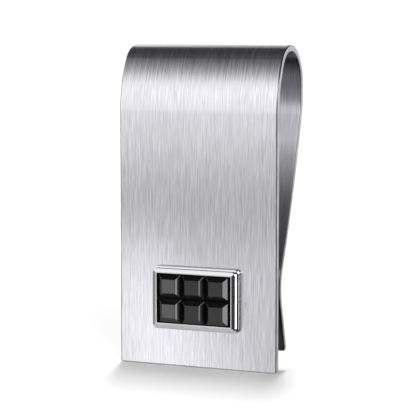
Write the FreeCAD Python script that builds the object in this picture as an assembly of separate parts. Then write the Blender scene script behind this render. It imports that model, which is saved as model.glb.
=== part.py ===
"""A money clip: a folded strip of spring steel with a six-stone setting on its front plate.

Frame, in millimetres: +X across the strip, +Y from the front plate towards the spring leg, +Z up.
The origin is the middle of the front plate's foot, halfway through the steel. Rest is the closed clip.
"""

import math
import os

import FreeCAD, Part
from FreeCAD import Vector

# Spring strip. Radii are those of the middle of the steel.
CLIP_HEIGHT = 50.0
STRIP_WIDTH = 26.5
STRIP_THICKNESS = 1.0
SHOULDER_RADIUS = 16.2
SHOULDER_TURN = 29.0
CROWN_RADIUS = 3.8
CROWN_TURN = 101.0
REAR_SHOULDER_RADIUS = 5.5
REAR_SHOULDER_TURN = 39.5
LEG_ROOT_RADIUS = 14.9
LEG_ROOT_TURN = 25.0
LEG_BOW_TURN = 8.0
GRIP_BEND_RADIUS = 8.5
GRIP_BEND_TURN = 37.0
TIP_LENGTH = 7.9
GRIP_GAP = 0.15
SPLIT_GAP = 0.02
CORNER_ROUNDING = 0.35
EDGE_ROUNDING = 0.15

# Setting. Heights are counted forwards from the front plate's face.
SETTING_CENTRE_Z = 10.83
FILM_THICKNESS = 0.08
FILM_INSET = 0.2
BASE_WIDTH = 14.5
BASE_HEIGHT = 9.85
BASE_CORNER = 0.75
BASE_WALL = 0.7
BASE_BEVEL_WIDTH = 0.27
BASE_BEVEL_RISE = 0.08
SEAT_RISE = 0.22
FRAME_WIDTH = 13.96
FRAME_HEIGHT = 9.25
FRAME_CORNER = 0.6
FRAME_WALL = 0.6
FRAME_BEVEL_WIDTH = 0.56
FRAME_BEVEL_RISE = 0.14
OPENING_WIDTH = 12.5
OPENING_HEIGHT = 8.0
OPENING_CORNER = 0.15
SEAT_PLAY = 0.04
METAL_EDGE = 0.05

# Stones, in three columns and two rows.
COLUMNS = 3
ROWS = 2
STONE_PITCH_X = 4.0
STONE_PITCH_Z = 3.9
STONE_WIDTH = 3.75
STONE_HEIGHT = 3.56
CEMENT_THICKNESS = 0.12
GIRDLE_BELOW_LEDGE = 0.04
CEMENT_BELOW_GIRDLE = 0.4
CROWN_RISE = 0.68
CROWN_BEVEL = 0.7
STONE_EDGE = 0.04

FRONT_FACE_Y = -STRIP_THICKNESS / 2


def strip_path():
    """The middle line of the closed strip, as straight runs and arcs, from the foot to the tip."""
    turns = [math.radians(a) for a in (SHOULDER_TURN, CROWN_TURN, REAR_SHOULDER_TURN, LEG_ROOT_TURN)]
    radii = [SHOULDER_RADIUS, CROWN_RADIUS, REAR_SHOULDER_RADIUS, LEG_ROOT_RADIUS]
    top = CLIP_HEIGHT - STRIP_THICKNESS / 2
    straight = top - CROWN_RADIUS - (SHOULDER_RADIUS - CROWN_RADIUS) * math.sin(turns[0])
    y = 0.0
    heading = 0.0
    for radius, turn in zip(radii, turns):
        y += radius * (math.cos(heading) - math.cos(heading + turn))
        heading += turn
    # The leg bows just enough to bring the grip bend to its gap behind the front plate.
    bow = math.radians(LEG_BOW_TURN)
    bow_end = heading + bow
    grip_y = STRIP_THICKNESS + GRIP_GAP
    bend_drop = GRIP_BEND_RADIUS * (1 + math.cos(bow_end))
    bow_radius = (y - grip_y - bend_drop) / (math.cos(bow_end) - math.cos(heading))
    return (
        [("line", straight, 0.0)]
        + [("arc", radius, turn) for radius, turn in zip(radii, turns)]
        + [("arc", bow_radius, bow)]
        + [("arc", GRIP_BEND_RADIUS, -math.radians(GRIP_BEND_TURN)), ("line", TIP_LENGTH, 0.0)]
    )


class Walker:
    """Walks along the middle line and draws the strip's outer and inner faces beside it."""

    def __init__(self, y, z, heading):
        self.y = y
        self.z = z
        self.heading = heading
        self.outer = []
        self.inner = []

    def beside(self, offset):
        """A point beside the middle line, on the outer side for a positive offset."""
        return Vector(
            0, self.y - offset * math.cos(self.heading), self.z + offset * math.sin(self.heading)
        )

    def both_faces(self):
        return self.beside(STRIP_THICKNESS / 2), self.beside(-STRIP_THICKNESS / 2)

    def run(self, length):
        start = self.both_faces()
        self.y += length * math.sin(self.heading)
        self.z += length * math.cos(self.heading)
        end = self.both_faces()
        self.outer.append(Part.LineSegment(start[0], end[0]).toShape())
        self.inner.append(Part.LineSegment(start[1], end[1]).toShape())

    def bend(self, radius, turn):
        """An arc that turns towards the rear leg for a positive turn, and back for a negative one."""
        points = [self.both_faces()]
        signed_radius = math.copysign(radius, turn)
        for _ in range(2):
            after = self.heading + turn / 2
            self.y += signed_radius * (math.cos(self.heading) - math.cos(after))
            self.z += signed_radius * (math.sin(after) - math.sin(self.heading))
            self.heading = after
            points.append(self.both_faces())
        self.outer.append(Part.Arc(*[p[0] for p in points]).toShape())
        self.inner.append(Part.Arc(*[p[1] for p in points]).toShape())


def walk(path, y, z, heading):
    """Walks one stretch of strip. Returns its solid, with square edges, and the walker at its end."""
    walker = Walker(y, z, heading)
    start = Part.LineSegment(*walker.both_faces()).toShape()
    for kind, size, turn in path:
        if kind == "line":
            walker.run(size)
        else:
            walker.bend(size, turn)
    end = Part.LineSegment(*walker.both_faces()).toShape()
    face = Part.Face(Part.Wire(Part.__sortEdges__([start, end] + walker.outer + walker.inner)))
    face.translate(Vector(-STRIP_WIDTH / 2, 0, 0))
    return face.extrude(Vector(STRIP_WIDTH, 0, 0)), walker


def joins_smoothly(solid, edge):
    """True where the two faces beside an edge are tangent, so that there is nothing to round."""
    faces = [f for f in solid.Faces if any(edge.isSame(e) for e in f.Edges)]
    middle = edge.valueAt((edge.FirstParameter + edge.LastParameter) / 2)
    normals = [f.normalAt(*f.Surface.parameter(middle)) for f in faces]
    return len(normals) < 2 or abs(normals[0].dot(normals[1])) > 0.999


def soften(solid, split, end):
    """Rounds the two corners at the strip's free end, then every edge but those at the split."""

    def beside(edge, point):
        return (edge.CenterOfMass - point).cross(Vector(1, 0, 0)).Length < 0.6 * STRIP_THICKNESS

    corners = [e for e in solid.Edges if e.Length < 1.01 * STRIP_THICKNESS and beside(e, end)]
    solid = solid.makeFillet(CORNER_ROUNDING, corners)
    edges = [e for e in solid.Edges if not beside(e, split) and not joins_smoothly(solid, e)]
    return solid.makeFillet(EDGE_ROUNDING, edges)


def strip_halves():
    """The strip's two halves: the front plate up to the top of the clip, and the spring leg beyond it."""
    path = strip_path()
    before = math.radians(90.0 - SHOULDER_TURN)
    gap = SPLIT_GAP / CROWN_RADIUS
    crown = path[2]
    plate_path = path[:2] + [("arc", CROWN_RADIUS, before)]
    leg_path = [("arc", CROWN_RADIUS, crown[2] - before - gap)] + path[3:]
    plate, top = walk(plate_path, 0.0, 0.0, 0.0)
    _, leg_start = walk([("arc", CROWN_RADIUS, gap)], top.y, top.z, top.heading)
    leg, tip = walk(leg_path, leg_start.y, leg_start.z, leg_start.heading)
    foot = Vector(0, 0, 0)
    return soften(plate, top.beside(0), foot), soften(leg, leg_start.beside(0), tip.beside(0))


def outline(width, height, corner, forward):
    """A rounded rectangle parallel to the front plate, that far forward of its face."""
    y = FRONT_FACE_Y - forward
    x = width / 2
    z = height / 2
    c = corner
    s = c * math.sin(math.radians(45))
    edges = []
    for i in range(4):
        turn = FreeCAD.Rotation(Vector(0, 1, 0), 90 * i)
        a, b = (x, z) if i % 2 == 0 else (z, x)
        points = [
            Vector(-a + c, 0, b),
            Vector(a - c, 0, b),
            Vector(a - c + s, 0, b - c + s),
            Vector(a, 0, b - c),
        ]
        p = [turn.multVec(q) + Vector(0, y, SETTING_CENTRE_Z) for q in points]
        edges.append(Part.LineSegment(p[0], p[1]).toShape())
        edges.append(Part.Arc(p[1], p[2], p[3]).toShape())
    return Part.Wire(edges)


def slab_between(low, high):
    """The solid between two outlines of the same kind."""
    return Part.makeLoft([low, high], True, True)


def rounded(solid, radius, heights):
    """Rounds the sharp edges that lie at those heights in front of the plate."""
    wanted = [FRONT_FACE_Y - h for h in heights]
    edges = [
        e
        for e in solid.Edges
        if any(abs(e.BoundBox.YMin - y) < 1e-4 and abs(e.BoundBox.YMax - y) < 1e-4 for y in wanted)
    ]
    return solid.makeFillet(radius, edges)


def setting_levels():
    """Heights in front of the plate at which the setting's pieces begin and end."""
    levels = {"film": FILM_THICKNESS, "base_wall": BASE_WALL}
    levels["flange"] = BASE_WALL + BASE_BEVEL_RISE
    levels["seat"] = levels["flange"] + SEAT_RISE
    levels["frame_wall"] = levels["flange"] + FRAME_WALL
    levels["ledge"] = levels["frame_wall"] + FRAME_BEVEL_RISE
    levels["girdle"] = levels["ledge"] - GIRDLE_BELOW_LEDGE
    levels["stone_foot"] = levels["seat"] + CEMENT_THICKNESS
    levels["table"] = levels["girdle"] + CROWN_RISE
    return levels


def bonding_film(level):
    """The thin bond between the setting and the front plate."""
    width = BASE_WIDTH - 2 * FILM_INSET
    height = BASE_HEIGHT - 2 * FILM_INSET
    corner = BASE_CORNER - FILM_INSET
    return slab_between(
        outline(width, height, corner, 0), outline(width, height, corner, level["film"])
    )


def setting_base(level):
    """The lower tier: a bevelled flange with a raised seat for the stones."""
    flange = slab_between(
        outline(BASE_WIDTH, BASE_HEIGHT, BASE_CORNER, level["film"]),
        outline(BASE_WIDTH, BASE_HEIGHT, BASE_CORNER, level["base_wall"]),
    )
    inset = 2 * BASE_BEVEL_WIDTH
    bevel = slab_between(
        outline(BASE_WIDTH, BASE_HEIGHT, BASE_CORNER, level["base_wall"]),
        outline(BASE_WIDTH - inset, BASE_HEIGHT - inset, BASE_CORNER - BASE_BEVEL_WIDTH, level["flange"]),
    )
    seat_width = OPENING_WIDTH - 2 * SEAT_PLAY
    seat_height = OPENING_HEIGHT - 2 * SEAT_PLAY
    seat = slab_between(
        outline(seat_width, seat_height, OPENING_CORNER, level["base_wall"]),
        outline(seat_width, seat_height, OPENING_CORNER, level["seat"]),
    )
    body = flange.fuse([bevel, seat]).removeSplitter()
    return rounded(body, METAL_EDGE, [level["film"], level["base_wall"]])


def bezel_frame(level):
    """The upper tier: a ring with bevelled outer faces and a flat inner ledge round the stones."""
    wall = slab_between(
        outline(FRAME_WIDTH, FRAME_HEIGHT, FRAME_CORNER, level["flange"]),
        outline(FRAME_WIDTH, FRAME_HEIGHT, FRAME_CORNER, level["frame_wall"]),
    )
    inset = 2 * FRAME_BEVEL_WIDTH
    bevel = slab_between(
        outline(FRAME_WIDTH, FRAME_HEIGHT, FRAME_CORNER, level["frame_wall"]),
        outline(
            FRAME_WIDTH - inset, FRAME_HEIGHT - inset, FRAME_CORNER - FRAME_BEVEL_WIDTH, level["ledge"]
        ),
    )
    opening = slab_between(
        outline(OPENING_WIDTH, OPENING_HEIGHT, OPENING_CORNER, 0),
        outline(OPENING_WIDTH, OPENING_HEIGHT, OPENING_CORNER, level["table"]),
    )
    ring = wall.fuse(bevel).removeSplitter().cut(opening)
    return rounded(ring, METAL_EDGE, [level["frame_wall"], level["ledge"]])


def stone_centres():
    """The centre of each stone across the setting, with its row and column, counted from the top left."""
    for row in range(ROWS):
        for column in range(COLUMNS):
            x = (column - (COLUMNS - 1) / 2) * STONE_PITCH_X
            z = SETTING_CENTRE_Z + ((ROWS - 1) / 2 - row) * STONE_PITCH_Z
            yield row + 1, column + 1, x, z


def rectangle(x, z, width, height, forward):
    y = FRONT_FACE_Y - forward
    return Part.makePolygon(
        [
            Vector(x + sx * width / 2, y, z + sz * height / 2)
            for sx, sz in ((-1, -1), (1, -1), (1, 1), (-1, 1), (-1, -1))
        ]
    )


def stone_block(x, z, low, high):
    return slab_between(
        rectangle(x, z, STONE_WIDTH, STONE_HEIGHT, low), rectangle(x, z, STONE_WIDTH, STONE_HEIGHT, high)
    )


def stone(x, z, level):
    """A table-cut stone: a flat slab with four bevelled crown facets round its table."""
    inset = 2 * CROWN_BEVEL
    girdle = rectangle(x, z, STONE_WIDTH, STONE_HEIGHT, level["girdle"])
    table = rectangle(x, z, STONE_WIDTH - inset, STONE_HEIGHT - inset, level["table"])
    slab = stone_block(x, z, level["stone_foot"], level["girdle"])
    cut = slab.fuse(slab_between(girdle, table)).removeSplitter()
    crown = [e for e in cut.Edges if e.BoundBox.YMin < FRONT_FACE_Y - level["girdle"] - STONE_EDGE]
    return cut.makeFillet(STONE_EDGE, crown)


def cement_bed(level):
    """The dark cement under the stones and in the joints round them."""
    width = OPENING_WIDTH - 2 * SEAT_PLAY
    height = OPENING_HEIGHT - 2 * SEAT_PLAY
    top = level["girdle"] - CEMENT_BELOW_GIRDLE
    bed = slab_between(
        outline(width, height, OPENING_CORNER, level["seat"]),
        outline(width, height, OPENING_CORNER, top),
    )
    pockets = [stone_block(x, z, level["stone_foot"], level["table"]) for _, _, x, z in stone_centres()]
    return bed.cut(pockets)


def save(name, shape):
    solids = shape.Solids
    good = bool(solids) and all(s.isValid() and s.Volume > 0 for s in solids)
    shape.exportStep(f"parts/{name}.step")
    box = shape.BoundBox
    print(
        f"{name:16s} solids {len(solids)} valid {good} volume {shape.Volume:9.3f} "
        f"X {box.XMin:.2f}..{box.XMax:.2f} Y {box.YMin:.2f}..{box.YMax:.2f} Z {box.ZMin:.2f}..{box.ZMax:.2f}"
    )


def main():
    os.makedirs("parts", exist_ok=True)
    level = setting_levels()
    plate, leg = strip_halves()
    save("front_plate", plate)
    save("spring_leg", leg)
    save("bonding_film", bonding_film(level))
    save("setting_base", setting_base(level))
    save("bezel_frame", bezel_frame(level))
    save("cement_bed", cement_bed(level))
    for row, column, x, z in stone_centres():
        save(f"stone_row{row}_col{column}", stone(x, z, level))


main()
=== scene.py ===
"""The looks of the money clip: brushed strip, polished setting and black stones, in a pale studio."""

import math

import bmesh
import bpy
from mathutils import Matrix, Vector


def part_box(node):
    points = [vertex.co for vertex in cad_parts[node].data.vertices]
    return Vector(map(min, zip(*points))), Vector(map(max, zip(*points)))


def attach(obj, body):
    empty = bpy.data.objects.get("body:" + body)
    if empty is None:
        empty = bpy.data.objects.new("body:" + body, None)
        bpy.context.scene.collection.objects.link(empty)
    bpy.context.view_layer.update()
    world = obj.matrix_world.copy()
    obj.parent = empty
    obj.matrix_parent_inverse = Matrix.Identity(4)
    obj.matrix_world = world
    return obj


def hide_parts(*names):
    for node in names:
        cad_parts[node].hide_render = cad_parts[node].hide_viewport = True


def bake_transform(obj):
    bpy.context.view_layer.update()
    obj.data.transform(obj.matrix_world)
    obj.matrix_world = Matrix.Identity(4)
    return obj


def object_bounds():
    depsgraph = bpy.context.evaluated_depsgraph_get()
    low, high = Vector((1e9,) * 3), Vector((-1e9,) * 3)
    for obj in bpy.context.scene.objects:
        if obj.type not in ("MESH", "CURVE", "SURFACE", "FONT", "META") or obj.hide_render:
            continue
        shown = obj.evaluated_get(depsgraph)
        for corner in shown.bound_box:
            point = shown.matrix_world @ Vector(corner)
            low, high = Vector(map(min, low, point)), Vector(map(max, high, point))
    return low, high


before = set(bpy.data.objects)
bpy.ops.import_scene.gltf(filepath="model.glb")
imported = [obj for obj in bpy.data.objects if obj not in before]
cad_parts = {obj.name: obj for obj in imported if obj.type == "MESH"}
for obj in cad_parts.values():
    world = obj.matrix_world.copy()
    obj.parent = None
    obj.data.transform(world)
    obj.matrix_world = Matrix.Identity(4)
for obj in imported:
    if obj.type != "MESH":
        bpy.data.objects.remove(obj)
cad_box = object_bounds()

MM = 0.001
ACROSS = Vector((1, 0, 0))
FORWARD = Vector((0, -1, 0))

# ---------------------------------------------------------------- shape
# Lengths are in millimetres and angles in degrees.

# The strip's middle line, as the CAD model has it.
CLIP_HEIGHT = 50.0
STRIP_WIDTH = 26.5
STRIP_THICKNESS = 1.0
SHOULDER_RADIUS = 16.2
SHOULDER_TURN = 29.0
CROWN_RADIUS = 3.8
CROWN_TURN = 101.0
REAR_SHOULDER_RADIUS = 5.5
REAR_SHOULDER_TURN = 39.5
LEG_ROOT_RADIUS = 14.9
LEG_ROOT_TURN = 25.0
LEG_BOW_TURN = 8.0
GRIP_BEND_RADIUS = 8.5
GRIP_BEND_TURN = 37.0
TIP_LENGTH = 7.9
GRIP_GAP = 0.15
CORNER_ROUNDING = 0.35
EDGE_ROUNDING = 0.2
LEAST_EDGE_ROUNDING = 0.02

# Inside the loop, painted shade darkens the steel below this height, over this distance.
PINCH_TOP = 34.0
PINCH_FADE = 8.0

# The bezel ring.
FRAME_CORNER = 0.6
LEAST_CORNER = 0.03
FRAME_BEVEL_WIDTH = 0.56
FRAME_BEVEL_RISE = 0.14
OPENING_PLAY = 0.04
METAL_ROUNDING = 0.05

# The stones. Outer sides are cut flat, and sides along a joint between stones are deeper and convex.
CROWN_BEVEL = 0.7
CROWN_RISE = 0.58
JOINT_BEVEL = 0.78
JOINT_DEPTH = 0.78
JOINT_CONVEXITY = 7.0
FIRST_COLUMN_TILT = 3.0
FACET_ROUNDING = 0.06
FACET_SEGMENTS = 3
SHARP_ANGLE = 20.0

# Mesh fineness. A stone has a ring of points at each of these depths below its table.
STONE_RING_DEPTHS = (0.0, 0.15, 0.29, 0.44, 0.58, 0.78)
ARC_STEP = 3.0
LEAST_ARC_STEPS = 6
EDGE_STEPS = 4
CORNER_STEPS = 8

# ---------------------------------------------------------------- finish
# Sizes and depths are in millimetres. Noise varies a shade or a roughness over a (low, high) range.

# The part of its own range that noise mostly keeps to.
NOISE_MIDDLE = (0.25, 0.75)

# Brushed steel. Streaks are (size across the strip, size along it, detail).
COARSE_STREAKS = (0.30, 14.0, 3)
FINE_STREAKS = (0.085, 4.0, 3)
STREAK_HARSHNESS = 0.6
COARSE_SHADE = (0.86, 1.0)
FINE_SHADE = (0.52, 1.0)
STREAK_BUMP = 0.1
STREAK_DEPTH = 0.005
STEEL_TINT = {"Red": 0.955, "Green": 0.945, "Blue": 1.0}
STEEL_ROUGHNESS = (0.18, 0.24)
INNER_ROUGHNESS = 0.3
BRUSHING = 0.95

# Brushing spreads reflections this way, across the strip. It is a little off X, because the narrow sides face
# along X and a tangent can't point straight out of its surface.
SPREAD_DIRECTION = {"X": 1.0, "Y": 0.02, "Z": 0.013}

# The steel's painted shade from the broad faces (0) over the rounded edges to the narrow sides (1), and its
# painted shade inside the loop down to the pinch (1), as (position, brightness) stops.
EDGE_PAINTED_SHADE_STOPS = ((0.0, 1.0), (0.12, 1.0), (0.35, 0.15), (0.88, 0.15), (0.97, 0.9))
PINCH_PAINTED_SHADE_STOPS = ((0.0, 1.0), (1.0, 0.3))

# The polished setting. Its painted shade goes from faces that stand upright (0) to faces that lie flat (1),
# as stops.
# Noise here and below is (size, detail).
SETTING_TINT = {"Red": 0.68, "Green": 0.68, "Blue": 0.71}
WALL_PAINTED_SHADE_STOPS = ((0.0, 1.0), (0.6, 1.0), (0.85, 0.1))
POLISH_MARKS = (0.6, 2.0)
POLISH_ROUGHNESS = (0.06, 0.12)

# The stones and the cement.
BLACK = (0.003, 0.003, 0.003, 1)
STONE_CLOUDS = (0.8, 3.0)
STONE_ROUGHNESS = (0.03, 0.08)
STONE_IOR = 1.54
CEMENT_GRAIN = (0.1, 2.0)
CEMENT_GRAIN_DEPTH = 0.02
MATT_ROUGHNESS = 0.9
MATT_SPECULAR = 0.1

# ---------------------------------------------------------------- studio
# Azimuth 0 is straight in front of the plate, and grows towards +X. Angles are in degrees.

# The camera's target, distance, lens and sensor are in millimetres. The rest of the studio is in metres.
CAMERA_AZIMUTH = 24.0
CAMERA_ELEVATION = 5.86
CAMERA_DISTANCE = 284.15
CAMERA_TARGET = Vector((0, 4.4, 24.2))
CAMERA_LENS = 155.4
CAMERA_SENSOR = 36
CAMERA_CLIP = (0.01, 10)

STAGE_RADIUS = 1.4
FLOOR_SEGMENTS = 96
FLOOR_WHITE = 0.92
FLOOR_GLOW = 0.03
DOME_SEGMENTS = (64, 32)

LAMP_AZIMUTH = -163.0
LAMP_ELEVATION = 72.0
LAMP_SPREAD = (6.0, 28.0)
LAMP_DISTANCE = 10.0
LAMP_POWER = 740.0

# The clip mirrors a front light and, all round, panels of light on a dim background.
# The front light's brightness follows elevation, as (elevation, strength) stops.
AMBIENT = 0.05
FRONT_AZIMUTHS = (-50, -2)
FRONT_SOFTNESS = 8
FRONT_STRENGTH = 1.42
FRONT_STOPS = (
    (-90, 0.42),
    (-50, 0.4),
    (-38, 0.4),
    (-30, 0.52),
    (-22, 0.7),
    (-12, 0.665),
    (-8.4, 0.64),
    (-7.4, 0.415),
    (-6.4, 0.27),
    (-5.2, 0.415),
    (-4.3, 0.665),
    (-3.4, 0.76),
    (-2.9, 0.79),
    (-2, 0.86),
    (0, 0.88),
    (12, 0.86),
    (20, 0.83),
    (25, 0.79),
    (29, 0.72),
    (34, 0.495),
    (40, 0.245),
    (47, 0.085),
    (57, 0.03),
    (64, 0.04),
    (72, 0.13),
    (90, 0.13),
)

# A panel has an azimuth range and its softness, an elevation range and its softness, and a strength.
PANELS = {
    "stone_light": ((-36, -27.5), 2, (-20, -7.2), 1.5, 1.4),
    "left_low": ((-82, -50), 8, (-95, 0), 6, 0.28),
    "underside": ((-110, -50), 8, (-95, -50), 12, 0.5),
    "left_high": ((-150, -50), 8, (0, 40), 10, 0.9),
    "right_box": ((46, 58), 5, (-18, 8), 8, 4.8),
    "right_glow": ((46, 64), 20, (-18, 8), 8, 0.9),
    "right_far": ((74, 112), 20, (-18, 8), 8, 0.5),
    "right_high": ((26, 60), 12, (10, 27), 2, 13.0),
    "back_right": ((110, 190), 12, (-95, 30), 8, 0.85),
    "back_left": ((-190, -140), 10, (-95, 32), 20, 0.85),
}


# ---------------------------------------------------------------- meshes


def show(thing):
    bpy.context.scene.collection.objects.link(thing)


def new_piece(name, vertices, faces, material):
    """A smooth-shaded mesh object from vertices in millimetres."""
    mesh = bpy.data.meshes.new(name)
    mesh.from_pydata([Vector(v) * MM for v in vertices], [], faces)
    shape = bmesh.new()
    shape.from_mesh(mesh)
    bmesh.ops.recalc_face_normals(shape, faces=shape.faces)
    shape.to_mesh(mesh)
    shape.free()
    mesh.polygons.foreach_set("use_smooth", [True] * len(mesh.polygons))
    mesh.materials.append(material)
    piece = bpy.data.objects.new(name, mesh)
    show(piece)
    return piece


def bridge(rings, closed):
    """Quads between equal rings. A closed loft joins its last ring to its first, an open one is capped."""
    count = len(rings[0])
    faces = []
    for i in range(len(rings) if closed else len(rings) - 1):
        a = i * count
        b = (i + 1) % len(rings) * count
        faces += [(a + k, a + (k + 1) % count, b + (k + 1) % count, b + k) for k in range(count)]
    if not closed:
        last = (len(rings) - 1) * count
        faces.append(tuple(reversed(range(count))))
        faces.append(tuple(range(last, last + count)))
    return faces


def loft(name, rings, normals, material, closed=False):
    """A piece lofted through rings of points. A normal of zero length is left for Blender to work out."""
    vertices = [p for ring in rings for p in ring]
    piece = new_piece(name, vertices, bridge(rings, closed), material)
    piece.data.normals_split_custom_set_from_vertices([n for ring in normals for n in ring])
    return piece


def mark(piece, name, values):
    """Stores one value for each vertex, for the material to read."""
    attribute = piece.data.attributes.new(name, "FLOAT", "POINT")
    attribute.data.foreach_set("value", values)


# ---------------------------------------------------------------- strip


def strip_path():
    """The middle line as (radius, turn) arcs and (None, length) runs, from the foot to the tip."""
    turns = [math.radians(a) for a in (SHOULDER_TURN, CROWN_TURN, REAR_SHOULDER_TURN, LEG_ROOT_TURN)]
    radii = [SHOULDER_RADIUS, CROWN_RADIUS, REAR_SHOULDER_RADIUS, LEG_ROOT_RADIUS]
    top = CLIP_HEIGHT - STRIP_THICKNESS / 2
    straight = top - CROWN_RADIUS - (SHOULDER_RADIUS - CROWN_RADIUS) * math.sin(turns[0])
    y = 0.0
    heading = 0.0
    for radius, turn in zip(radii, turns):
        y += radius * (math.cos(heading) - math.cos(heading + turn))
        heading += turn
    bow = math.radians(LEG_BOW_TURN)
    bow_end = heading + bow
    bend_drop = GRIP_BEND_RADIUS * (1 + math.cos(bow_end))
    fall = y - STRIP_THICKNESS - GRIP_GAP - bend_drop
    bow_radius = fall / (math.cos(bow_end) - math.cos(heading))
    arcs = list(zip(radii, turns)) + [(bow_radius, bow)]
    grip_bend = (GRIP_BEND_RADIUS, -math.radians(GRIP_BEND_TURN))
    return [(None, straight)] + arcs + [grip_bend, (None, TIP_LENGTH)]


def end_steps(length):
    """Distances from a free end at which the strip needs a station, so that its rounded ends are smooth."""
    angles = [math.radians(90 * i / EDGE_STEPS) for i in range(EDGE_STEPS + 1)]
    near = {EDGE_ROUNDING * (1 - math.cos(a)) for a in angles}
    near |= {CORNER_ROUNDING * (1 - math.cos(a)) for a in angles}
    return sorted(d for d in near if d < length)


def strip_stations():
    """Points along the middle line as (y, z, heading, distance from the foot)."""
    y, z, heading, walked = 0.0, 0.0, 0.0, 0.0
    stations = [(y, z, heading, walked)]
    path = strip_path()
    for index, (radius, amount) in enumerate(path):
        if radius is None:
            distances = [amount]
            if index == 0:
                distances = end_steps(amount)[1:] + distances
            if index == len(path) - 1:
                distances = sorted(amount - d for d in end_steps(amount))
            start = (y, z, walked)
            for d in distances:
                y = start[0] + d * math.sin(heading)
                z = start[1] + d * math.cos(heading)
                walked = start[2] + d
                stations.append((y, z, heading, walked))
            continue
        steps = max(LEAST_ARC_STEPS, math.ceil(abs(amount) / math.radians(ARC_STEP)))
        signed_radius = math.copysign(radius, amount)
        for _ in range(steps):
            after = heading + amount / steps
            y += signed_radius * (math.cos(heading) - math.cos(after))
            z += signed_radius * (math.sin(after) - math.sin(heading))
            heading = after
            walked += radius * abs(amount) / steps
            stations.append((y, z, heading, walked))
    return stations


def round_inset(distance, radius):
    """How far a rounded end has drawn in at a distance from it."""
    if distance >= radius:
        return 0.0
    return radius - math.sqrt(max(0.0, radius**2 - (radius - distance) ** 2))


def section(half_width, half_thickness, rounding):
    """The strip's section: a rounded rectangle as (across, outward, normal across, normal outward) points."""
    points = []
    for quarter in range(4):
        sx = 1 if quarter in (0, 3) else -1
        so = 1 if quarter in (0, 1) else -1
        for step in range(EDGE_STEPS + 1):
            a = math.radians(90 * (quarter + step / EDGE_STEPS))
            na, no = math.cos(a), math.sin(a)
            centre = (sx * (half_width - rounding), so * (half_thickness - rounding))
            points.append((centre[0] + rounding * na, centre[1] + rounding * no, na, no))
    return points


def strip_piece(name, stations, length, material):
    """A stretch of the strip, with values on its points that the steel's material reads.

    "edge" runs from 0 on the broad faces to 1 on the narrow sides and at the ends, and places painted shade
    on the rounded edges. "inner" is 1 inside the loop, and "pinch" grows to 1 towards the narrow end of the
    loop, where painted shade darkens the steel.
    """
    rings = []
    normals = []
    edge_values = []
    inner_values = []
    pinch_values = []
    for y, z, heading, walked in stations:
        outward = Vector((0, -math.cos(heading), math.sin(heading)))
        to_end = max(0.0, min(walked, length - walked))
        edge = round_inset(to_end, EDGE_ROUNDING)
        half_width = STRIP_WIDTH / 2 - round_inset(to_end, CORNER_ROUNDING)
        rounding = max(EDGE_ROUNDING - edge, LEAST_EDGE_ROUNDING)
        points = section(half_width - edge, STRIP_THICKNESS / 2 - edge, rounding)
        rings.append([Vector((a, y, z)) + outward * o for a, o, _, _ in points])
        keep = 0.0 if to_end < CORNER_ROUNDING else 1.0
        normals.append([(ACROSS * na + outward * no) * keep for _, _, na, no in points])
        edge_values += [max(abs(na), edge / EDGE_ROUNDING) for _, _, na, _ in points]
        pinch = min(1.0, max(0.0, (PINCH_TOP - z) / PINCH_FADE))
        inner_values += [1.0 if no < 0 else 0.0 for _, _, _, no in points]
        pinch_values += [pinch if no < 0 else 0.0 for _, _, _, no in points]
    piece = loft(name, rings, normals, material)
    mark(piece, "edge", edge_values)
    mark(piece, "inner", inner_values)
    mark(piece, "pinch", pinch_values)
    return piece


def build_strip(material):
    """The strip in three pieces: the plate, the crown (the part that bends as the real clip opens), and the
    leg.
    """
    stations = strip_stations()
    length = stations[-1][3]
    shoulder = next(i for i, s in enumerate(stations) if s[2] > 0) - 1
    rearmost = next(i for i, s in enumerate(stations) if s[2] >= math.pi - 1e-6)
    plate = strip_piece("strip_plate", stations[: shoulder + 1], length, material)
    crown = strip_piece("strip_crown", stations[shoulder : rearmost + 1], length, material)
    leg = strip_piece("strip_leg", stations[rearmost:], length, material)
    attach(plate, "front")
    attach(leg, "leg")
    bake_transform(crown)
    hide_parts("front_plate")
    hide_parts("spring_leg")


# ---------------------------------------------------------------- setting


def rounded_profile(corners):
    """A closed profile through (outward, forward, rounding) corners as points with normals."""
    profile = []
    count = len(corners)
    for i, (o, f, rounding) in enumerate(corners):
        here = Vector((o, f))
        before = (Vector(corners[i - 1][:2]) - here).normalized()
        after = (Vector(corners[(i + 1) % count][:2]) - here).normalized()
        normal_in = Vector((-before.y, before.x))
        normal_out = Vector((after.y, -after.x))
        turn = normal_in.angle_signed(normal_out)
        inside = (before + after).normalized()
        half = before.angle(after) / 2
        centre = here + inside * (rounding / math.sin(half))
        for step in range(EDGE_STEPS + 1):
            normal = normal_in.copy()
            normal.rotate(Matrix.Rotation(-turn * step / EDGE_STEPS, 2))
            profile.append((centre + normal * rounding, normal))
    return profile


def rounded_rectangle(half_width, half_height, corner):
    """Points of a rounded rectangle, anticlockwise from the front, each with its outward normal."""
    for quarter in range(4):
        sx = 1 if quarter in (0, 3) else -1
        sz = 1 if quarter in (0, 1) else -1
        for step in range(CORNER_STEPS + 1):
            a = math.radians(90 * (quarter + step / CORNER_STEPS))
            normal = Vector((math.cos(a), 0, math.sin(a)))
            centre = Vector((sx * (half_width - corner), 0, sz * (half_height - corner)))
            yield centre + normal * corner, normal


def moulding(name, corners, size, corner, centre, closed, material):
    """A moulding of one profile all round a rounded rectangle."""
    rings = []
    normals = []
    for point, normal in rounded_profile(corners):
        radius = max(corner + point.x, LEAST_CORNER)
        outline = list(rounded_rectangle(size[0] / 2 + point.x, size[1] / 2 + point.x, radius))
        rings.append([centre + p + FORWARD * point.y for p, _ in outline])
        normals.append([n * normal.x + FORWARD * normal.y for _, n in outline])
    return loft(name, rings, normals, material, closed)


def node_size(node):
    """A CAD node's centre and size, in millimetres."""
    low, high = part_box(node)
    return (low + high) / 2 / MM, (high - low) / MM


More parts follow.
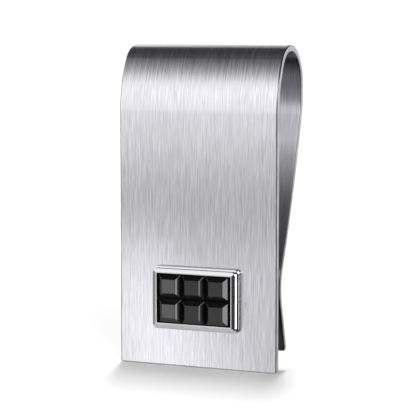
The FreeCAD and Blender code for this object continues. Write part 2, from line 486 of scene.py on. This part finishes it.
def build_bezel(material):
    """The upper tier: a bevelled ring with a narrow flat ledge round the stones."""
    centre, size = node_size("bezel_frame")
    _, bed_size = node_size("cement_bed")
    face = Vector((centre.x, -STRIP_THICKNESS / 2, centre.z))
    back = face.y - (centre.y + size.y / 2)
    ledge = face.y - (centre.y - size.y / 2)
    opening = (bed_size.x + 2 * OPENING_PLAY - size.x) / 2
    corners = [
        (opening, back, METAL_ROUNDING),
        (0, back, METAL_ROUNDING),
        (0, ledge - FRAME_BEVEL_RISE, METAL_ROUNDING),
        (-FRAME_BEVEL_WIDTH, ledge, METAL_ROUNDING),
        (opening, ledge, METAL_ROUNDING),
    ]
    ring = moulding("bezel_ring", corners, (size.x, size.z), FRAME_CORNER, face, True, material)
    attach(ring, "front")
    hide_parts("bezel_frame")


# ---------------------------------------------------------------- stones


def flat_side(depth):
    """How far an outer side stands out from the table's edge at a depth below the table."""
    return CROWN_BEVEL * min(depth / CROWN_RISE, 1.0)


def joint_side(depth):
    """The same for a side along a joint between stones, which swells out in an arc."""
    chord = Vector((JOINT_BEVEL, JOINT_DEPTH))
    bend = math.radians(JOINT_CONVEXITY)
    radius = chord.length / 2 / math.sin(bend)
    steep = math.atan2(JOINT_DEPTH, JOINT_BEVEL)
    start = steep - bend
    centre = Vector((-radius * math.sin(start), radius * math.cos(start)))
    return centre.x + math.sqrt(radius**2 - (centre.y - depth) ** 2)


def stone_mesh(table, size, row, column):
    """A table-cut stone: rings from the table down to its foot, with a face on the table and the foot."""
    left = flat_side if column == 1 else joint_side
    right = flat_side if column == 3 else joint_side
    upper = flat_side if row == 1 else joint_side
    lower = flat_side if row == 2 else joint_side
    half_width = size.x / 2 - CROWN_BEVEL
    half_height = size.z / 2 - CROWN_BEVEL
    tilt = math.tan(math.radians(FIRST_COLUMN_TILT)) if column == 1 else 0.0
    vertices = []
    for depth in STONE_RING_DEPTHS + (size.y,):
        reach = min(depth, JOINT_DEPTH)
        x0 = -half_width - left(reach)
        x1 = half_width + right(reach)
        z0 = -half_height - lower(reach)
        z1 = half_height + upper(reach)
        for x, z in ((x0, z0), (x1, z0), (x1, z1), (x0, z1)):
            lean = tilt * (half_width - x) if depth < size.y else 0.0
            vertices.append((table.x + x, table.y + depth + lean, table.z + z))
    faces = [(0, 1, 2, 3), tuple(reversed(range(len(vertices) - 4, len(vertices))))]
    for base in range(0, len(vertices) - 4, 4):
        faces += [(base + k, base + (k + 1) % 4, base + (k + 1) % 4 + 4, base + k + 4) for k in range(4)]
    return vertices, faces


def build_stones(material):
    """The six stones, each where its CAD node is."""
    for node in sorted(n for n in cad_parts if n.startswith("stone_")):
        row, column = (int(part[-1]) for part in node.split("_")[1:])
        centre, size = node_size(node)
        table = centre - Vector((0, size.y / 2, 0))
        vertices, faces = stone_mesh(table, size, row, column)
        stone = new_piece(f"{node}_cut", vertices, faces, material)
        soften = stone.modifiers.new("facet_rounding", "BEVEL")
        soften.width = FACET_ROUNDING * MM
        soften.segments = FACET_SEGMENTS
        soften.limit_method = "ANGLE"
        soften.angle_limit = math.radians(SHARP_ANGLE)
        soften.harden_normals = True
        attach(stone, "front")
        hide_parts(node)


# ---------------------------------------------------------------- materials


class Nodes:
    """A node tree, with short ways to add and join nodes."""

    def __init__(self, tree):
        self.tree = tree

    def put(self, socket, value):
        """Feeds a socket from another node's output, or gives it a fixed value."""
        if isinstance(value, bpy.types.NodeSocket):
            self.tree.links.new(value, socket)
        else:
            socket.default_value = value

    def add(self, kind, inputs=(), **settings):
        node = self.tree.nodes.new(kind)
        for key, value in settings.items():
            setattr(node, key, value)
        for socket, value in dict(inputs).items():
            self.put(node.inputs[socket], value)
        return node

    def maths(self, operation, *values):
        return self.add("ShaderNodeMath", dict(enumerate(values)), operation=operation).outputs[0]

    def ramp(self, value, stops):
        """A grey ramp through (position, brightness) stops."""
        node = self.add("ShaderNodeValToRGB", {"Fac": value})
        elements = node.color_ramp.elements
        while len(elements) > 1:
            elements.remove(elements[-1])
        elements[0].position = stops[0][0]
        for position, _ in stops[1:]:
            elements.new(position)
        for element, (_, grey) in zip(elements, stops):
            element.color = (grey, grey, grey, 1)
        return node.outputs["Color"]

    def attribute(self, name):
        return self.add("ShaderNodeAttribute", attribute_name=name).outputs["Fac"]

    def place(self):
        return self.add("ShaderNodeTexCoord").outputs["Object"]

    def noise(self, size, detail):
        inputs = {"Vector": self.place(), "Scale": 1 / (size * MM), "Detail": detail}
        return self.add("ShaderNodeTexNoise", inputs).outputs["Fac"]

    def streaks(self, across, along, detail):
        """Noise drawn out along the strip."""
        scale = (1 / (across * MM), 1 / (along * MM), 1 / (along * MM))
        stretched = self.add("ShaderNodeMapping", {"Vector": self.place(), "Scale": scale}).outputs[0]
        inputs = {"Vector": stretched, "Scale": 1.0, "Detail": detail, "Roughness": STREAK_HARSHNESS}
        return self.add("ShaderNodeTexNoise", inputs).outputs["Fac"]

    def spread(self, value, low, high):
        """Noise's middle range, stretched to run from low to high."""
        inputs = {"Value": value, "To Min": low, "To Max": high}
        inputs["From Min"], inputs["From Max"] = NOISE_MIDDLE
        return self.add("ShaderNodeMapRange", inputs).outputs["Result"]

    def tinted(self, shade, tint):
        """A colour that is a shade of grey times a tint."""
        channels = {name: self.maths("MULTIPLY", shade, amount) for name, amount in tint.items()}
        return self.add("ShaderNodeCombineColor", channels).outputs[0]


class Material(Nodes):
    """A new material, as the node tree round its shader."""

    def __init__(self, name):
        self.material = bpy.data.materials.new(name)
        self.material.use_nodes = True
        super().__init__(self.material.node_tree)
        self.shader = self.tree.nodes["Principled BSDF"]

    def set(self, **values):
        """Sets or feeds the shader's sockets, named with underscores for spaces."""
        for name, value in values.items():
            self.put(self.shader.inputs[name.replace("_", " ")], value)


def brushed_steel():
    """Brushed steel with bright narrow sides, and painted shade on its rounded edges and in the loop's pinch.
    """
    steel = Material("brushed_steel")
    coarse = steel.streaks(*COARSE_STREAKS)
    fine = steel.streaks(*FINE_STREAKS)
    shade = steel.maths("MULTIPLY", steel.spread(coarse, *COARSE_SHADE), steel.spread(fine, *FINE_SHADE))
    # Painted shade: the rounded edges, and the inside of the loop towards the pinch, are darkened.
    for name, stops in (("edge", EDGE_PAINTED_SHADE_STOPS), ("pinch", PINCH_PAINTED_SHADE_STOPS)):
        shade = steel.maths("MULTIPLY", shade, steel.ramp(steel.attribute(name), stops))
    outer = steel.spread(fine, *STEEL_ROUGHNESS)
    by_side = {"Value": steel.attribute("inner"), "To Min": outer, "To Max": INNER_ROUGHNESS}
    relief = {"Height": fine, "Strength": STREAK_BUMP, "Distance": STREAK_DEPTH * MM}
    steel.set(
        Base_Color=steel.tinted(shade, STEEL_TINT),
        Metallic=1.0,
        Roughness=steel.add("ShaderNodeMapRange", by_side).outputs["Result"],
        Anisotropic=BRUSHING,
        Tangent=steel.add("ShaderNodeCombineXYZ", SPREAD_DIRECTION).outputs[0],
        Normal=steel.add("ShaderNodeBump", relief).outputs[0],
    )
    return steel.material


def polished_steel():
    """Polished metal, with painted shade on the walls that face up or down."""
    metal = Material("polished_steel")
    normal = metal.add("ShaderNodeNewGeometry").outputs["Normal"]
    upward = metal.add("ShaderNodeSeparateXYZ", {0: normal}).outputs["Z"]
    # Painted shade: the walls that face up or down are darkened.
    shade = metal.ramp(metal.maths("ABSOLUTE", upward), WALL_PAINTED_SHADE_STOPS)
    metal.set(
        Base_Color=metal.tinted(shade, SETTING_TINT),
        Metallic=1.0,
        Roughness=metal.spread(metal.noise(*POLISH_MARKS), *POLISH_ROUGHNESS),
    )
    return metal.material


def black_stone():
    stone = Material("black_stone")
    roughness = stone.spread(stone.noise(*STONE_CLOUDS), *STONE_ROUGHNESS)
    stone.set(Base_Color=BLACK, Roughness=roughness, IOR=STONE_IOR)
    return stone.material


def black_cement():
    cement = Material("black_cement")
    relief = {"Height": cement.noise(*CEMENT_GRAIN), "Distance": CEMENT_GRAIN_DEPTH * MM}
    cement.set(Base_Color=BLACK, Roughness=MATT_ROUGHNESS, Specular_IOR_Level=MATT_SPECULAR)
    cement.set(Normal=cement.add("ShaderNodeBump", relief).outputs[0])
    return cement.material


def give_material(node, material):
    """Gives a material to a CAD node that is shown as it is."""
    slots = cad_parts[node].data.materials
    slots.clear()
    slots.append(material)


# ---------------------------------------------------------------- stage, lamp, reflections and camera


def towards(azimuth, elevation):
    """The direction at an azimuth and elevation."""
    a = math.radians(azimuth)
    e = math.radians(elevation)
    return Vector((math.sin(a) * math.cos(e), -math.cos(a) * math.cos(e), math.sin(e)))


def disc(radius, segments):
    turns = [2 * math.pi * i / segments for i in range(segments)]
    return [(radius * math.cos(turn), radius * math.sin(turn), 0) for turn in turns]


def build_floor():
    """A white floor. Reflections show the studio's low panels instead of it."""
    paint = Material("pale_floor")
    paint.set(Base_Color=(FLOOR_WHITE,) * 3 + (1,), Emission_Color=(1, 1, 1, 1), Emission_Strength=FLOOR_GLOW)
    paint.set(Roughness=MATT_ROUGHNESS, Specular_IOR_Level=MATT_SPECULAR)
    mesh = bpy.data.meshes.new("floor")
    mesh.from_pydata(disc(STAGE_RADIUS, FLOOR_SEGMENTS), [], [tuple(range(FLOOR_SEGMENTS))])
    mesh.materials.append(paint.material)
    floor = bpy.data.objects.new("floor", mesh)
    floor.location.z = cad_box[0].z
    floor.visible_glossy = False
    show(floor)


def build_backdrop():
    """A white dome that only the camera sees, so that the background is plain from every side."""
    mesh = bpy.data.meshes.new("backdrop")
    shape = bmesh.new()
    around, upward = DOME_SEGMENTS
    bmesh.ops.create_uvsphere(shape, u_segments=around, v_segments=upward, radius=STAGE_RADIUS)
    shape.to_mesh(mesh)
    shape.free()
    glow = Material("pale_backdrop")
    glow.set(Base_Color=(0, 0, 0, 1), Emission_Color=(1, 1, 1, 1), Emission_Strength=1.0)
    mesh.materials.append(glow.material)
    dome = bpy.data.objects.new("backdrop", mesh)
    dome.visible_diffuse = False
    dome.visible_glossy = False
    dome.visible_transmission = False
    dome.visible_shadow = False
    show(dome)


def build_lamp():
    """A narrow lamp behind and above the clip, which throws a soft shadow forwards."""
    data = bpy.data.lights.new("back_lamp", "AREA")
    data.shape = "RECTANGLE"
    data.size, data.size_y = (2 * LAMP_DISTANCE * math.tan(math.radians(a / 2)) for a in LAMP_SPREAD)
    data.energy = LAMP_POWER
    lamp = bpy.data.objects.new("back_lamp", data)
    direction = towards(LAMP_AZIMUTH, LAMP_ELEVATION)
    lamp.location = direction * LAMP_DISTANCE
    lamp.rotation_mode = "QUATERNION"
    lamp.rotation_quaternion = direction.to_track_quat("Z", "Y")
    lamp.visible_glossy = False
    show(lamp)


def soft_step(nodes, value, middle, softness):
    """0 below a value and 1 above it, with a smooth rise between."""
    limits = {"Value": value, "From Min": middle - softness / 2, "From Max": middle + softness / 2}
    return nodes.add("ShaderNodeMapRange", limits, interpolation_type="SMOOTHSTEP").outputs["Result"]


def band(nodes, value, limits, softness):
    """1 between two limits and 0 beyond them."""
    rise = soft_step(nodes, value, limits[0], softness)
    fall = nodes.maths("SUBTRACT", 1.0, soft_step(nodes, value, limits[1], softness))
    return nodes.maths("MULTIPLY", rise, fall)


def looking(nodes):
    """The azimuth and elevation of the direction that a reflection looks in, in degrees."""
    direction = nodes.add("ShaderNodeTexCoord").outputs["Generated"]
    x, y, z = nodes.add("ShaderNodeSeparateXYZ", {0: direction}).outputs
    azimuth = nodes.maths("ARCTAN2", x, nodes.maths("MULTIPLY", y, -1))
    elevation = nodes.maths("ARCSINE", z)
    return [nodes.maths("MULTIPLY", angle, math.degrees(1)) for angle in (azimuth, elevation)]


def front_light(nodes, azimuth, elevation):
    """The light in front of the plate, whose brightness follows elevation."""
    height = nodes.maths("ADD", nodes.maths("DIVIDE", elevation, 180), 0.5)
    brightness = nodes.ramp(height, [((angle + 90) / 180, grey) for angle, grey in FRONT_STOPS])
    light = nodes.maths("MULTIPLY", brightness, band(nodes, azimuth, FRONT_AZIMUTHS, FRONT_SOFTNESS))
    return nodes.maths("MULTIPLY", light, FRONT_STRENGTH)


def build_world():
    """The studio as the clip mirrors it: the front light and the soft-edged panels."""
    world = bpy.data.worlds.new("studio")
    world.use_nodes = True
    bpy.context.scene.world = world
    nodes = Nodes(world.node_tree)
    azimuth, elevation = looking(nodes)
    total = nodes.maths("ADD", front_light(nodes, azimuth, elevation), AMBIENT)
    for azimuths, azimuth_softness, elevations, elevation_softness, strength in PANELS.values():
        across = band(nodes, azimuth, azimuths, azimuth_softness)
        upward = band(nodes, elevation, elevations, elevation_softness)
        panel = nodes.maths("MULTIPLY", nodes.maths("MULTIPLY", across, upward), strength)
        total = nodes.maths("ADD", panel, total)
    background = world.node_tree.nodes["Background"]
    nodes.put(background.inputs["Color"], (1, 1, 1, 1))
    nodes.put(background.inputs["Strength"], total)


def build_camera():
    back = towards(CAMERA_AZIMUTH, CAMERA_ELEVATION)
    data = bpy.data.cameras.new("camera")
    data.sensor_width = CAMERA_SENSOR
    data.lens = CAMERA_LENS
    data.clip_start, data.clip_end = CAMERA_CLIP
    camera = bpy.data.objects.new("camera", data)
    camera.location = (CAMERA_TARGET + back * CAMERA_DISTANCE) * MM
    camera.rotation_mode = "QUATERNION"
    camera.rotation_quaternion = (-back).to_track_quat("-Z", "Y")
    show(camera)
    bpy.context.scene.camera = camera


def main():
    polished = polished_steel()
    cement = black_cement()
    build_strip(brushed_steel())
    build_bezel(polished)
    build_stones(black_stone())
    give_material("cement_bed", cement)
    give_material("bonding_film", cement)
    give_material("setting_base", polished)
    build_floor()
    build_backdrop()
    build_lamp()
    build_world()
    build_camera()
    bpy.context.scene.view_settings.view_transform = "Standard"


main()
